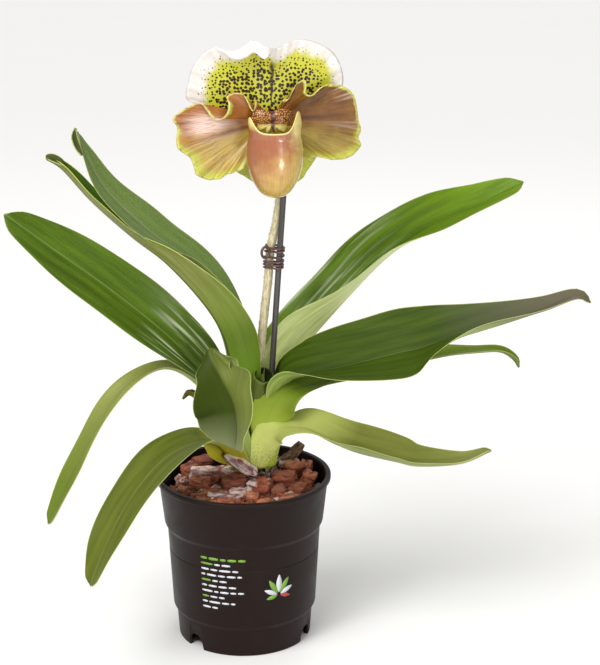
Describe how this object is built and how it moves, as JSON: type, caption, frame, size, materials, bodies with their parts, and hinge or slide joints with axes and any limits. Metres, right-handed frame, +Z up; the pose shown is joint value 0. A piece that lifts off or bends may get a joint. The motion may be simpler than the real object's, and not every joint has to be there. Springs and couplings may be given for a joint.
{
  "type": "paphiopedilum orchid in a pot",
  "caption": "Slipper orchid in bloom with strap leaves, growing in bark in a round nursery pot, its flower stem tied to a stake.",
  "frame": {"origin": "on the axis of the pot, on the surface that the pot stands on; the flat underside of the pot floor is 2.5 mm above it", "axes": "+Z up along the pot axis; the flower faces -Y; +X is to the right when facing the flower"},
  "size_m": [0.3871, 0.1529, 0.4193],
  "materials": {
    "pot_plastic": "satin",
    "bark": "matte",
    "rhizome": "matte",
    "leaf": "satin",
    "leaf_withered": "matte",
    "stem": "matte",
    "sepal": "satin",
    "petal": "satin",
    "pouch": "gloss",
    "column": "gloss",
    "stake_plastic": "satin",
    "tie_plastic": "gloss"
  },
  "bodies": {
    "root": {"pot": "pot_plastic", "bark_mix": "bark", "crown": "rhizome", "leaf_left_big": "leaf", "leaf_left_inner": "leaf", "leaf_left_outer": "leaf", "leaf_left_hanging": "leaf", "leaf_left_low": "leaf", "leaf_right_back": "leaf", "leaf_right_big": "leaf", "leaf_right_middle": "leaf", "leaf_right_low": "leaf", "leaf_front": "leaf", "leaf_young": "leaf", "leaf_withered": "leaf_withered", "flower_stem": "stem", "ovary": "stem", "bract": "leaf", "dorsal_sepal": "sepal", "synsepal": "sepal", "petal_left": "petal", "petal_right": "petal", "pouch": "pouch", "column": "column", "stake": "stake_plastic", "tie": "tie_plastic"}
  },
  "joints": []
}
